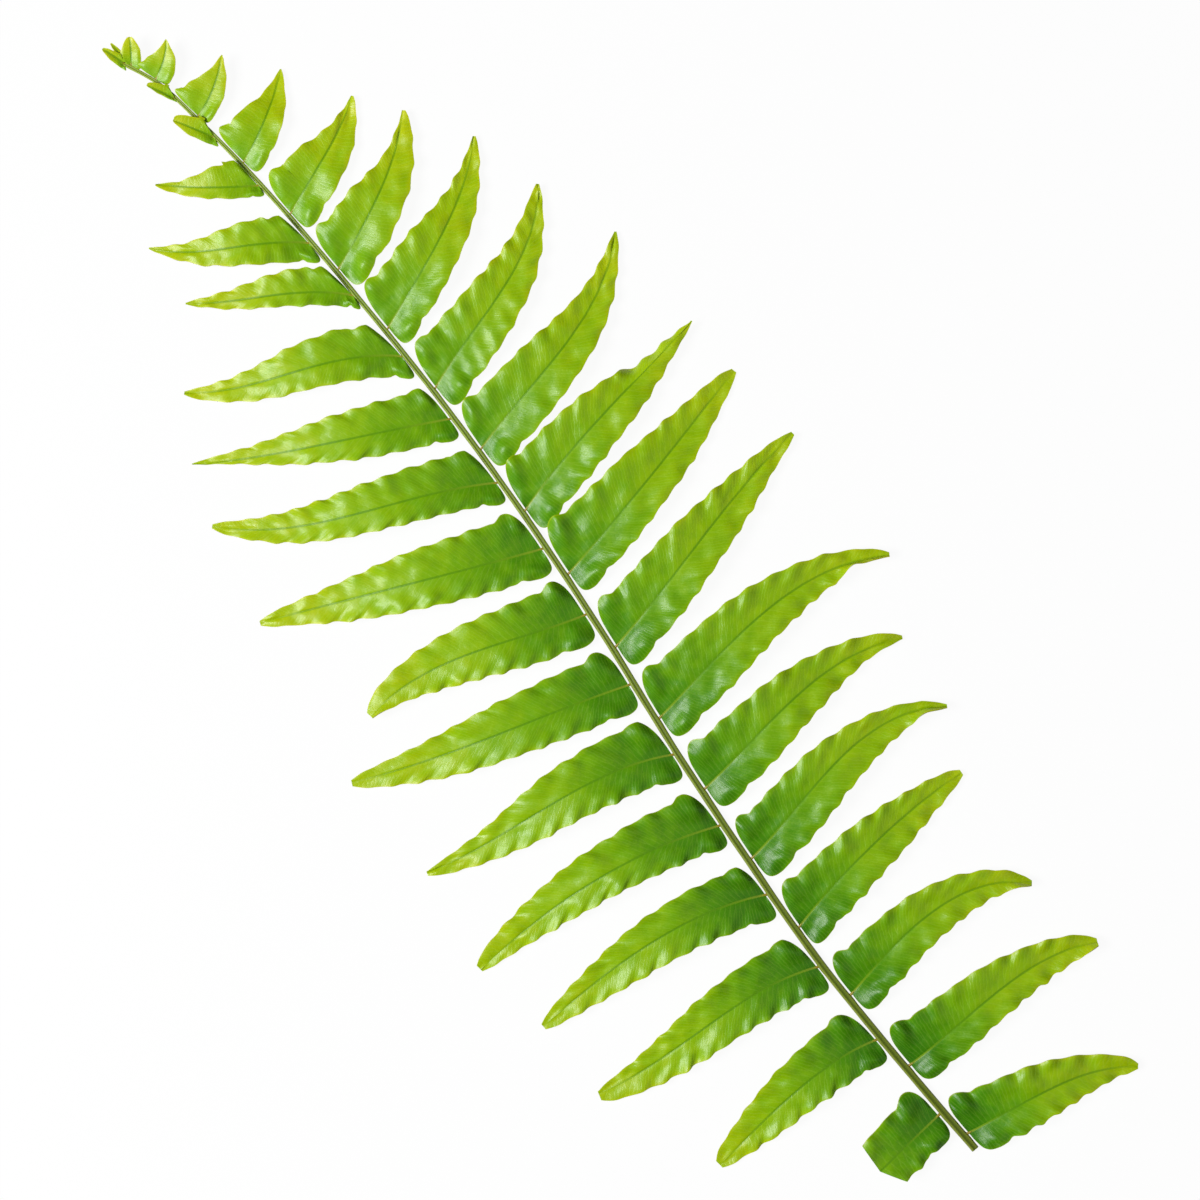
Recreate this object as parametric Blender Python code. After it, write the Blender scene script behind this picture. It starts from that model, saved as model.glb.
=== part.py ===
"""The end piece of a sword fern frond, cut from its plant and lying flat, as one solid that grew as one.

The stem runs along +Y from the cut end to the tip. The leaflets stand alternately to its right (+X) and
its left. Lengths are in millimetres until they are handed to Blender, which works in metres.
"""
import math
import random

import bmesh
import bpy
import numpy as np
from mathutils import Matrix

MM = 0.001

# The stem: distance along the frond, sideways bow, and radius.
STEM_Y = (0.0, 25.0, 50.0, 75.0, 100.0, 128.0, 157.0, 185.0, 212.0, 230.0, 244.0, 258.0, 270.5, 277.5)
STEM_X = (0.2, -0.8, -1.1, 0.3, 2.35, 5.5, 7.8, 8.8, 8.5, 7.9, 7.0, 5.5, 3.3, 0.3)
RADIUS_Y = (0.0, 120.0, 230.0, 277.5)
RADIUS = (0.82, 0.70, 0.52, 0.36)
TIP_RISE_FROM = 232.0
TIP_RISE = 1.6
TIP_CURVE = 1.5
STEM_SIDES = 8
STEM_STEP = 6.5

# Each leaflet: name, side, distance along the stem, length, headings from the frond's axis in degrees
# at its base, middle and tip, then half-width and taper towards the frond's tip, and half-width and
# taper towards the cut end.
LEAFLETS = (
    ("R19", 1, 3.4, 37.0, 98, 103, 130, 6.3, 0.8, 5.6, 0.9),
    ("R18", 1, 21.4, 45.4, 89, 90, 118, 6.5, 0.8, 5.2, 0.6),
    ("R17", 1, 39.9, 44.5, 78, 91, 137, 5.8, 0.8, 5.7, 0.9),
    ("R16", 1, 57.0, 45.0, 74, 85, 94, 6.0, 0.8, 5.9, 0.8),
    ("R15", 1, 73.7, 51.0, 82, 83, 127, 5.8, 1.1, 6.4, 1.0),
    ("R14", 1, 90.5, 50.5, 84, 86, 118, 6.5, 0.9, 6.2, 1.2),
    ("R13", 1, 107.3, 57.6, 82, 88, 123, 6.7, 0.9, 6.3, 1.2),
    ("R12", 1, 124.0, 55.4, 79, 76, 84, 6.5, 1.0, 6.2, 0.9),
    ("R11", 1, 141.4, 52.4, 80, 77, 76, 7.4, 0.9, 5.9, 0.8),
    ("R10", 1, 156.8, 50.3, 73, 81, 80, 6.5, 1.3, 6.3, 1.1),
    ("R9", 1, 172.0, 51.8, 75, 75, 44, 6.4, 1.2, 6.4, 1.1),
    ("R8", 1, 187.3, 46.4, 69, 71, 37, 6.1, 0.9, 6.4, 1.3),
    ("R7", 1, 202.6, 42.5, 70, 65, 43, 6.3, 1.5, 5.7, 0.9),
    ("R6", 1, 218.1, 34.5, 71, 62, 42, 5.9, 1.9, 6.2, 0.8),
    ("R5", 1, 232.8, 26.6, 69, 68, 52, 5.7, 1.7, 5.6, 0.9),
    ("R4", 1, 246.7, 20.2, 73, 59, 48, 5.6, 1.6, 4.1, 1.0),
    ("R3", 1, 259.5, 13.1, 77, 60, 47, 5.0, 1.6, 2.9, 1.1),
    ("R2", 1, 270.5, 8.1, 70, 56, 36, 3.4, 1.4, 3.1, 1.4),
    ("R1", 1, 275.6, 5.4, 42, 38, 38, 2.2, 0.7, 2.1, 0.7),
    ("L17", -1, 9.9, 45.0, 92, 97, 98, 6.0, 1.2, 5.2, 1.2),
    ("L16", -1, 29.6, 40.5, 71, 94, 97, 5.9, 0.6, 5.3, 0.7),
    ("L15", -1, 48.4, 51.0, 65, 88, 75, 5.7, 0.9, 5.8, 0.5),
    ("L14", -1, 66.2, 52.5, 61, 85, 93, 5.2, 0.8, 5.7, 0.7),
    ("L13", -1, 82.9, 56.5, 66, 84, 96, 6.1, 0.6, 5.0, 0.8),
    ("L12", -1, 99.9, 55.0, 60, 83, 73, 6.1, 1.2, 5.9, 0.8),
    ("L11", -1, 116.3, 59.0, 70, 73, 65, 6.2, 0.9, 5.9, 0.7),
    ("L10", -1, 132.8, 48.0, 74, 72, 101, 6.4, 0.6, 6.2, 0.9),
    ("L9", -1, 148.6, 58.5, 68, 66, 67, 6.5, 1.0, 5.9, 0.8),
    ("L8", -1, 164.7, 58.0, 58, 66, 41, 5.7, 0.9, 4.7, 0.8),
    ("L7", -1, 180.6, 52.5, 63, 63, 56, 5.5, 1.2, 4.7, 1.9),
    ("L6", -1, 196.4, 44.5, 47, 68, 48, 5.5, 1.2, 4.6, 0.8),
    ("L5", -1, 212.2, 33.5, 43, 59, 50, 4.6, 1.2, 2.7, 1.0),
    ("L4", -1, 225.9, 32.2, 49, 59, 37, 4.7, 1.3, 4.2, 1.2),
    ("L3", -1, 241.2, 20.6, 59, 51, 44, 4.4, 1.9, 2.4, 0.7),
    ("L2", -1, 254.2, 8.6, 32, 30, 30, 2.5, 0.45, 1.7, 0.8),
    ("L1", -1, 265.0, 6.0, 30, 28, 30, 1.7, 0.5, 0.6, 0.9),
    ("T1", -1, 276.6, 5.0, 18, 18, 22, 1.1, 0.7, 1.1, 0.7),
    ("T2", 1, 276.7, 4.5, 10, 3, -4, 0.7, 0.7, 0.7, 0.7),
)
# A leaflet whose outer part is cut off, with the length that is left, and how fast the cut draws back
# from the midrib on the side towards the cut end and on the other.
CUT_SHORT = {"L17": 16.1}
CUT_CURVE = (0.10, 0.025)
# Leaflets whose end turns on its side: where the turn starts and ends, in leaflet lengths, then how far
# the half towards the frond's tip and the other half have turned, in degrees.
TURNED = {
    "R10": (0.63, 0.70, -45.0, 8.0),
    "R13": (0.78, 0.88, -20.0, -74.0),
    "R15": (0.80, 0.92, -20.0, -70.0),
    "R17": (0.84, 0.98, -30.0, -50.0),
    "R18": (0.86, 0.98, -25.0, -50.0),
    "L10": (0.88, 0.98, -25.0, -55.0)}

# The margins of a leaflet. Each row: how far it follows the slant of the stem, distances along the
# midrib in lobe sizes and in leaflet lengths, and the distance from the midrib in half-widths.
TIPWARD = (
    (1.0, 0.00, 0, 0.06), (1.0, 0.00, 0, 0.42), (1.0, 0.02, 0, 0.80), (1.0, 0.10, 0, 1.09),
    (1.0, 0.26, 0, 1.28), (1.0, 0.48, 0, 1.33), (0.95, 0.70, 0, 1.27), (0.85, 0.88, 0.01, 1.19),
    (0.6, 1.00, 0.03, 1.15), (0.2, 0, 0.25, 1.10), (0, 0, 0.36, 1.02), (0, 0, 0.46, 0.94),
    (0, 0, 0.56, 0.80), (0, 0, 0.66, 0.65), (0, 0, 0.76, 0.50), (0, 0, 0.86, 0.36),
    (0, 0, 0.95, 0.21), (0, 0, 1.0, 0.06))
BASEWARD = (
    (1.0, 0.00, 0, 0.06), (1.0, 0.00, 0, 0.36), (1.0, 0.05, 0, 0.68), (1.0, 0.20, 0, 0.85),
    (0.95, 0.46, 0, 0.93), (0.7, 0.74, 0, 0.95), (0.35, 0.93, 0.03, 0.96), (0, 0, 0.26, 0.97),
    (0, 0, 0.36, 0.94), (0, 0, 0.46, 0.88), (0, 0, 0.56, 0.82), (0, 0, 0.66, 0.70),
    (0, 0, 0.76, 0.54), (0, 0, 0.86, 0.35), (0, 0, 0.95, 0.19), (0, 0, 1.0, 0.06))
# A leaflet tapers from this share of its margin on, over the next stretch.
TAPER_FROM = 0.45
TAPER_OVER = 0.2
# The size of the lobes at the base of a short leaflet, as a share of its length.
LOBE_SHARE = 0.2
# The angle between leaflet and stem, in radians, at which an ear is lowest and highest, and how far it
# reaches there, in half-widths.
LEAST_SLANT = 0.7
SLANT_LOW, SLANT_HIGH = 0.8, 1.3
EAR_LOW, EAR_HIGH = 1.1, 1.36
# The stretch of stem, each way, over which its direction at a leaflet is taken.
SLOPE_REACH = 4.0

# The blade and the waves and scallops along its margins.
THICKNESS = 0.6
WAVE_STEP = 2.45
WAVE_HEIGHT = 0.55
LEAST_CREST, MOST_CREST = 0.5, 1.4
CRESTS = 26
FEWEST_ROWS = 6
WAVES_GROW = 6
WAVES_FADE = 5
LEAST_WAVE = 0.1
FULL_WAVE_LENGTH = 30.0
SCALLOP = 0.19
RAISED_EDGE = 0.05
FAN = 1.5
SEED = 5

# The gap between a leaflet and the stem, the stalk across it, and the least depth of a tip that touches
# the surface.
STALK_GAP = 0.4
FULL_GAP_LENGTH = 45.0
STALK_HALF_WIDTH = 0.32
LEAST_DEPTH = 0.3

# How a leaflet arches: the height of its crown with what its length and chance add, how far its root
# lies above the stem's underside, and the height of its tip above the surface it lies on.
ARCH_AT = (0, 0.12, 0.4, 0.75, 1.0)
ARCH_RISE = 0.45
ARCH_FALL = 0.65
LEAST_ARCH = 0.2
CROWN = 1.0
CROWN_PER_LENGTH = 0.055
CROWN_CHANCE = (-0.4, 0.6)
ROOT_IN_RADII = 1.15
ROOT_LIFT = 0.3
TIP_HEIGHTS = (0.0, 0.5, 1.1)
SHORT_TIP_HEIGHT = 1.8
TURNED_TIP_HEIGHT = 2.0
LONG_LEAFLET = 18.0

# How many short steps a midrib and a margin are traced in.
MIDRIB_STEPS = 200
MARGIN_STEPS = 600


def smooth(knots, values, x):
    """A smooth line through the values."""
    knots = np.array(knots, float)
    values = np.array(values, float)
    slope = np.gradient(values, knots)
    i = np.clip(np.searchsorted(knots, x, side="right") - 1, 0, len(knots) - 2)
    h = knots[i + 1] - knots[i]
    t = (x - knots[i]) / h
    rise = values[i] * (1 + 2 * t) + slope[i] * h * t
    fall = values[i + 1] * (3 - 2 * t) - slope[i + 1] * h * (1 - t)
    return rise * (1 - t) ** 2 + fall * t ** 2


def stem_x(y):
    return smooth(STEM_Y, STEM_X, y)


def stem_radius(y):
    return np.interp(y, RADIUS_Y, RADIUS)


def stem_rise(y):
    t = np.clip((y - TIP_RISE_FROM) / (STEM_Y[-1] - TIP_RISE_FROM), 0, 1)
    return TIP_RISE * t ** TIP_CURVE


class Leaflet:
    """One leaflet: its midrib, its margins and the surface between them."""

    def __init__(self, row, draw):
        self.name, self.side, self.station, self.length = row[:4]
        self.headings = row[4:7]
        self.tipward = row[7:9]
        self.baseward = row[9:11]
        self.end = CUT_SHORT.get(self.name, self.length)
        self.turn = TURNED.get(self.name)
        self.crown = CROWN + CROWN_PER_LENGTH * self.length + draw.uniform(*CROWN_CHANCE)
        self.tip_height = draw.choice(TIP_HEIGHTS)
        if self.length < LONG_LEAFLET:
            self.tip_height = SHORT_TIP_HEIGHT
        if self.turn:
            self.tip_height = TURNED_TIP_HEIGHT
        self.wave_sign = draw.choice((-1, 1))
        share = min(1.0, self.length / FULL_WAVE_LENGTH)
        self.wave = WAVE_HEIGHT * share
        self.scallop = SCALLOP * share
        self.crests = [[draw.uniform(LEAST_CREST, MOST_CREST) for _ in range(CRESTS)] for _ in range(2)]
        self.trace()

    def trace(self):
        s = (np.arange(MIDRIB_STEPS) + 0.5) / MIDRIB_STEPS
        first, middle, last = self.headings
        turn = first + (4 * middle - 3 * first - last) * s + (2 * first + 2 * last - 4 * middle) * s * s
        turn = np.radians(turn)
        steps = np.c_[self.side * np.sin(turn), np.cos(turn)] * self.length / MIDRIB_STEPS
        self.out = stem_radius(self.station) + STALK_GAP * min(1.0, self.length / FULL_GAP_LENGTH)
        leaving = self.station - self.out * math.cos(math.radians(first))
        aside = self.out * math.sin(math.radians(first))
        base = np.array([stem_x(leaving) + self.side * aside, self.station])
        self.line = np.r_[[base], base + np.cumsum(steps, axis=0)]
        self.line_at = np.linspace(0, self.length, MIDRIB_STEPS + 1)
        run = np.gradient(self.line, axis=0)
        self.run = run / np.linalg.norm(run, axis=1)[:, None]
        bow = stem_x(self.station + SLOPE_REACH) - stem_x(self.station - SLOPE_REACH)
        slope = bow / (2 * SLOPE_REACH)
        self.slant = max(math.radians(first) - self.side * math.atan(slope), LEAST_SLANT)
        self.root = ROOT_IN_RADII * stem_radius(self.station) + stem_rise(self.station)

    def height(self, a):
        """How high the upper face of the midrib lies."""
        s = np.clip(a / self.length, 0, 1)
        low = self.root + ROOT_LIFT
        top = max(self.crown + stem_rise(self.station), low + LEAST_ARCH)
        tip = self.tip_height + THICKNESS + stem_rise(self.station)
        levels = (low, low + ARCH_RISE * (top - low), top, top + ARCH_FALL * (tip - top), tip)
        return smooth(ARCH_AT, levels, s)

    def margin(self, tipward, u):
        """Distances along and across the midrib, for u from the stalk (0) to the tip (1)."""
        table = np.array(TIPWARD if tipward else BASEWARD)
        width, taper = self.tipward if tipward else self.baseward
        knots = np.linspace(0, 1, len(table))
        follow, lobe, along, across = (smooth(knots, table[:, i], u) for i in range(4))
        outer = np.clip((u - TAPER_FROM) / TAPER_OVER, 0, 1)
        across = np.where(across < 1, np.maximum(across, 0.01) ** (1 + (taper - 1) * outer), across)
        ear = np.interp(self.slant, (SLANT_LOW, SLANT_HIGH), (EAR_LOW, EAR_HIGH))
        c = np.minimum(across, ear) * width * (1 if tipward else -1)
        size = min(width, LOBE_SHARE * self.length)
        return lobe * size + along * self.length + follow * c / math.tan(self.slant), c

    def place(self, a, c, w):
        """The point at a along the midrib, c across it and w above the blade."""
        x = np.interp(a, self.line_at, self.line[:, 0])
        y = np.interp(a, self.line_at, self.line[:, 1])
        tx = np.interp(a, self.line_at, self.run[:, 0])
        ty = np.interp(a, self.line_at, self.run[:, 1])
        behind = np.minimum(a, 0)
        start, end, tipward, baseward = self.turn or (0, 1, 0, 0)
        s = np.clip((a / self.length - start) / (end - start), 0, 1)
        turned = np.radians(np.where(c > 0, tipward, baseward)) * s * s * (3 - 2 * s)
        flat = c * np.cos(turned) - w * np.sin(turned)
        up = c * np.sin(turned) + w * np.cos(turned)
        x = x + tx * behind - ty * self.side * flat
        y = y + ty * behind + tx * self.side * flat
        return np.stack((x, y, self.height(a) + up), axis=-1)

    def edge(self, tipward, count):
        """Evenly spaced points along one margin, as distances along and across, and the margin's length."""
        a, c = self.margin(tipward, np.linspace(0, 1, MARGIN_STEPS))
        keep = a <= self.end
        a, c = a[keep], c[keep]
        run = np.r_[0, np.cumsum(np.hypot(np.diff(a), np.diff(c)))]
        at = np.linspace(0, run[-1], count)
        a, c = np.interp(at, run, a), np.interp(at, run, c)
        if self.end < self.length:
            a = np.minimum(a, self.end - CUT_CURVE[int(tipward)] * c ** 2)
        return a, c, run[-1]

    def rows(self):
        """How many rows of points cross the blade: one for each crest and each hollow of its waves."""
        run = self.edge(True, 2)[2]
        return int(np.clip(round(run / WAVE_STEP), FEWEST_ROWS, CRESTS - 1)) + 1

    def surface(self, across):
        """The upper face in rows from the stalk to the tip: across from -1 (cut end side) to 1."""
        row = np.arange(self.rows())
        v = row / row[-1]
        points = []
        mid = self.end * v ** FAN
        grow = np.clip(v * WAVES_GROW, 0, 1) * np.clip((1 - v) * WAVES_FADE, LEAST_WAVE, 1)
        for t in across:
            a, c, _ = self.edge(t > 0, len(row))
            sign = self.wave_sign if t > 0 else 1
            wave = np.cos(np.pi * row) * sign * grow * self.crests[int(t > 0)][:len(row)]
            part = abs(t)
            bend = part ** 2 * (self.wave * wave + RAISED_EDGE * np.abs(c))
            c = c + np.sign(c) * self.scallop * wave
            points.append(self.place(mid + (a - mid) * part, c * part, bend))
        return np.stack(points, axis=1)


def mesh_object(name, verts, faces, material):
    mesh = bpy.data.meshes.new(name)
    mesh.from_pydata([tuple(v) for v in verts], [], faces)
    work = bmesh.new()
    work.from_mesh(mesh)
    bmesh.ops.recalc_face_normals(work, faces=work.faces)
    work.to_mesh(mesh)
    work.free()
    mesh.materials.append(material)
    thing = bpy.data.objects.new(name, mesh)
    bpy.context.scene.collection.objects.link(thing)
    return thing


def down(leaflet):
    """The direction from the upper to the under face in each row."""
    a = leaflet.end * np.linspace(0, 1, leaflet.rows()) ** FAN
    here = leaflet.place(a, a * 0, a * 0)
    below = leaflet.place(a, a * 0, a * 0 - 1)
    return below - here


def blade(leaflet, material):
    """A leaflet as a closed thin blade, with a tongue that sinks into the stem."""
    upper = leaflet.surface((-1, 0, 1))
    under = upper + down(leaflet)[:, None, :] * THICKNESS
    root_a = np.full(3, -leaflet.out)
    root_c = np.array((-1, 0, 1)) * STALK_HALF_WIDTH
    root = leaflet.place(root_a, root_c, root_a * 0)
    root[:, 2] = leaflet.root
    upper = np.concatenate((root[None], upper))
    lowered = root - np.array((0, 0, THICKNESS))
    under = np.concatenate((lowered[None], under))
    under[..., 2] = np.maximum(under[..., 2], 0)
    upper[..., 2] = np.maximum(upper[..., 2], under[..., 2] + LEAST_DEPTH)
    rows = len(upper)
    verts = np.concatenate((upper.reshape(-1, 3), under.reshape(-1, 3))) * MM
    shift = rows * 3
    faces = []
    for i in range(rows - 1):
        near, far = 3 * i, 3 * i + 3
        skin = (
            (near, near + 1, far), (near + 1, far + 1, far),
            (near + 1, near + 2, far + 2), (near + 1, far + 2, far + 1))
        for one in skin:
            faces.append(one)
            faces.append(tuple(k + shift for k in reversed(one)))
        for a, b in ((near, far), (near + 2, far + 2)):
            faces.append((a, b, b + shift))
            faces.append((a, b + shift, a + shift))
    for a in (0, 1, 3 * rows - 3, 3 * rows - 2):
        faces.append((a, a + 1, a + 1 + shift))
        faces.append((a, a + 1 + shift, a + shift))
    return mesh_object(leaflet.name, verts, faces, material)


def stem(material):
    """The stem as a tube with a narrow flat strip underneath, on which it lies."""
    y = np.linspace(0, STEM_Y[-1], int(STEM_Y[-1] / STEM_STEP) + 1)
    half = math.pi / STEM_SIDES
    round_it = -math.pi / 2 - half + np.arange(STEM_SIDES) * 2 * half
    run = np.gradient(stem_x(y), y)
    across = np.c_[np.ones_like(y), -run]
    across /= np.linalg.norm(across, axis=1)[:, None]
    radius = stem_radius(y)
    offset = radius[:, None] * np.cos(round_it)[None, :]
    x = stem_x(y)[:, None] + across[:, :1] * offset
    yy = y[:, None] + across[:, 1:] * offset
    z = radius[:, None] * (math.cos(half) + np.sin(round_it)[None, :]) + stem_rise(y)[:, None]
    verts = np.stack((x, yy, z), axis=-1).reshape(-1, 3) * MM
    faces = []
    for i in range(len(y) - 1):
        for j in range(STEM_SIDES):
            k = (j + 1) % STEM_SIDES
            a, b = STEM_SIDES * i + j, STEM_SIDES * i + k
            faces.append((a, b, b + STEM_SIDES, a + STEM_SIDES))
    faces.append(tuple(reversed(range(STEM_SIDES))))
    faces.append(tuple(range(STEM_SIDES * (len(y) - 1), STEM_SIDES * len(y))))
    return mesh_object("frond", verts, faces, material)


def leaf_green():
    material = bpy.data.materials.new("leaf_green")
    material.use_nodes = True
    look = material.node_tree.nodes["Principled BSDF"]
    look.inputs["Base Color"].default_value = (0.13, 0.33, 0.02, 1)
    look.inputs["Roughness"].default_value = 0.4
    return material


def main():
    for thing in list(bpy.data.objects):
        bpy.data.objects.remove(thing, do_unlink=True)
    draw = random.Random(SEED)
    green = leaf_green()
    frond = stem(green)
    group = bpy.data.collections.new("leaflets")
    bpy.context.scene.collection.children.link(group)
    blades = []
    for row in LEAFLETS:
        thing = blade(Leaflet(row, draw), green)
        bpy.context.scene.collection.objects.unlink(thing)
        group.objects.link(thing)
        blades.append(thing)
    join = frond.modifiers.new("grown together", "BOOLEAN")
    join.operation = "UNION"
    join.operand_type = "COLLECTION"
    join.collection = group
    join.solver = "MANIFOLD"
    bpy.context.view_layer.objects.active = frond
    bpy.ops.object.modifier_apply(modifier=join.name)
    for thing in blades:
        bpy.data.objects.remove(thing, do_unlink=True)
    bpy.data.collections.remove(group)
    points = np.array([v.co[:] for v in frond.data.vertices])
    middle = (points.min(axis=0) + points.max(axis=0)) / 2
    frond.data.transform(Matrix.Translation((-middle[0], -middle[1], 0)))


main()
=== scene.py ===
import math
import random

import bpy
import numpy as np
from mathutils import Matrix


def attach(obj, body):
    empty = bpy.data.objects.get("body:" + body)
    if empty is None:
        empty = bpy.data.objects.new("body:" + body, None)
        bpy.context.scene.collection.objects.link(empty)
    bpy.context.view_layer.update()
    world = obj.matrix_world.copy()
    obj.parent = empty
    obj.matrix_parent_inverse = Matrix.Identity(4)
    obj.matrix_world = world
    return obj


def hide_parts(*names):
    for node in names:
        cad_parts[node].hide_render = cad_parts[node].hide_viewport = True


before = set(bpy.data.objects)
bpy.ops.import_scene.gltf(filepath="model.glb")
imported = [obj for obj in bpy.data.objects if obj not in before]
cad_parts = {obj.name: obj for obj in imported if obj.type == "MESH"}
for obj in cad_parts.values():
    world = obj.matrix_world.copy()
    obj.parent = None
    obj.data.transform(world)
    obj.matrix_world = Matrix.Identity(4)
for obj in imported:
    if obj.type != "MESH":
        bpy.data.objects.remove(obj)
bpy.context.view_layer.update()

MM = 0.001

# The stem: distance along the frond, sideways bow, and radius, in millimetres.
STEM_Y = (0.0, 25.0, 50.0, 75.0, 100.0, 128.0, 157.0, 185.0, 212.0, 230.0, 244.0, 258.0, 270.5, 277.5)
STEM_X = (0.2, -0.8, -1.1, 0.3, 2.35, 5.5, 7.8, 8.8, 8.5, 7.9, 7.0, 5.5, 3.3, 0.3)
RADIUS_Y = (0.0, 120.0, 230.0, 277.5)
RADIUS = (0.82, 0.70, 0.52, 0.36)
# Towards its tip the stem rises: from where on, how far, and with what power.
TIP_RISE_FROM = 232.0
TIP_RISE = 1.6
TIP_CURVE = 1.5
# The sides of the solid stem, whose underside is a flat strip.
STEM_SIDES = 8
# The middle of the frond's box, from which the frame is measured.
MIDDLE = (2.436, 137.013)

# Each leaflet: name, side, distance along the stem, length, headings from the frond's axis in degrees
# at its base, middle and tip, then half-width and taper towards the frond's tip, and half-width and
# taper towards the cut end.
LEAFLETS = (
    ("R19", 1, 3.4, 37.0, 98, 103, 130, 6.3, 0.8, 5.6, 0.9),
    ("R18", 1, 21.4, 45.4, 89, 90, 118, 6.5, 0.8, 5.2, 0.6),
    ("R17", 1, 39.9, 44.5, 78, 91, 137, 5.8, 0.8, 5.7, 0.9),
    ("R16", 1, 57.0, 45.0, 74, 85, 94, 6.0, 0.8, 5.9, 0.8),
    ("R15", 1, 73.7, 51.0, 82, 83, 127, 5.8, 1.1, 6.4, 1.0),
    ("R14", 1, 90.5, 50.5, 84, 86, 118, 6.5, 0.9, 6.2, 1.2),
    ("R13", 1, 107.3, 57.6, 82, 88, 123, 6.7, 0.9, 6.3, 1.2),
    ("R12", 1, 124.0, 55.4, 79, 76, 84, 6.5, 1.0, 6.2, 0.9),
    ("R11", 1, 141.4, 52.4, 80, 77, 76, 7.4, 0.9, 5.9, 0.8),
    ("R10", 1, 156.8, 50.3, 73, 81, 80, 6.5, 1.3, 6.3, 1.1),
    ("R9", 1, 172.0, 51.8, 75, 75, 44, 6.4, 1.2, 6.4, 1.1),
    ("R8", 1, 187.3, 46.4, 69, 71, 37, 6.1, 0.9, 6.4, 1.3),
    ("R7", 1, 202.6, 42.5, 70, 65, 43, 6.3, 1.5, 5.7, 0.9),
    ("R6", 1, 218.1, 34.5, 71, 62, 42, 5.9, 1.9, 6.2, 0.8),
    ("R5", 1, 232.8, 26.6, 69, 68, 52, 5.7, 1.7, 5.6, 0.9),
    ("R4", 1, 246.7, 20.2, 73, 59, 48, 5.6, 1.6, 4.1, 1.0),
    ("R3", 1, 259.5, 13.1, 77, 60, 47, 5.0, 1.6, 2.9, 1.1),
    ("R2", 1, 270.5, 8.1, 70, 56, 36, 3.4, 1.4, 3.1, 1.4),
    ("R1", 1, 275.6, 5.4, 42, 38, 38, 2.2, 0.7, 2.1, 0.7),
    ("L17", -1, 9.9, 45.0, 92, 97, 98, 6.0, 1.2, 5.2, 1.2),
    ("L16", -1, 29.6, 40.5, 71, 94, 97, 5.9, 0.6, 5.3, 0.7),
    ("L15", -1, 48.4, 51.0, 65, 88, 75, 5.7, 0.9, 5.8, 0.5),
    ("L14", -1, 66.2, 52.5, 61, 85, 93, 5.2, 0.8, 5.7, 0.7),
    ("L13", -1, 82.9, 56.5, 66, 84, 96, 6.1, 0.6, 5.0, 0.8),
    ("L12", -1, 99.9, 55.0, 60, 83, 73, 6.1, 1.2, 5.9, 0.8),
    ("L11", -1, 116.3, 59.0, 70, 73, 65, 6.2, 0.9, 5.9, 0.7),
    ("L10", -1, 132.8, 48.0, 74, 72, 101, 6.4, 0.6, 6.2, 0.9),
    ("L9", -1, 148.6, 58.5, 68, 66, 67, 6.5, 1.0, 5.9, 0.8),
    ("L8", -1, 164.7, 58.0, 58, 66, 41, 5.7, 0.9, 4.7, 0.8),
    ("L7", -1, 180.6, 52.5, 63, 63, 56, 5.5, 1.2, 4.7, 1.9),
    ("L6", -1, 196.4, 44.5, 47, 68, 48, 5.5, 1.2, 4.6, 0.8),
    ("L5", -1, 212.2, 33.5, 43, 59, 50, 4.6, 1.2, 2.7, 1.0),
    ("L4", -1, 225.9, 32.2, 49, 59, 37, 4.7, 1.3, 4.2, 1.2),
    ("L3", -1, 241.2, 20.6, 59, 51, 44, 4.4, 1.9, 2.4, 0.7),
    ("L2", -1, 254.2, 8.6, 32, 30, 30, 2.5, 0.45, 1.7, 0.8),
    ("L1", -1, 265.0, 6.0, 30, 28, 30, 1.7, 0.5, 0.6, 0.9),
    ("T1", -1, 276.6, 5.0, 18, 18, 22, 1.1, 0.7, 1.1, 0.7),
    ("T2", 1, 276.7, 4.5, 10, 3, -4, 0.7, 0.7, 0.7, 0.7),
)
# A leaflet whose outer part is cut off, with the length that is left, and how fast the cut draws back
# from the midrib on the side towards the cut end and on the other.
CUT_SHORT = {"L17": 16.1}
CUT_CURVE = (0.10, 0.025)
# Leaflets whose end turns on its side: where the turn starts and ends, in leaflet lengths, then how far
# the half towards the frond's tip and the other half have turned, in degrees.
TURNED = {
    "R10": (0.63, 0.70, -45.0, 8.0),
    "R13": (0.78, 0.88, -20.0, -74.0),
    "R15": (0.80, 0.92, -20.0, -70.0),
    "R17": (0.84, 0.98, -30.0, -50.0),
    "R18": (0.86, 0.98, -25.0, -50.0),
    "L10": (0.88, 0.98, -25.0, -55.0)}

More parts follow.
